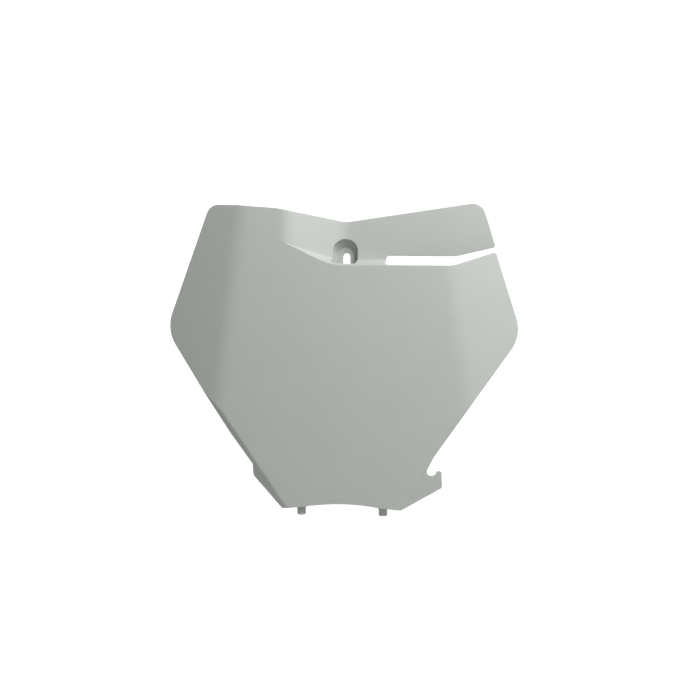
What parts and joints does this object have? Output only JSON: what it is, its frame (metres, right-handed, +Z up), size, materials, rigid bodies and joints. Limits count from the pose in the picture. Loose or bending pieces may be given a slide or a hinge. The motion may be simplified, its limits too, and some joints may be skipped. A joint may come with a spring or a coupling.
{
  "type": "racing number board",
  "caption": "Moulded front number board with folded wings, a recessed band with a screw slot, a cable slot, a hose hook and pegs.",
  "frame": {"origin": "middle of the round end of the screw slot, on the face that the screw head presses", "axes": "+Z up as mounted, -Y out of the front face that carries the number, +X to the right seen from the front"},
  "size_m": [0.256, 0.0314, 0.2277],
  "materials": {
    "moulding": "smooth grey moulding, satin gloss"
  },
  "bodies": {
    "root": {"number_board": "moulding"}
  },
  "joints": []
}
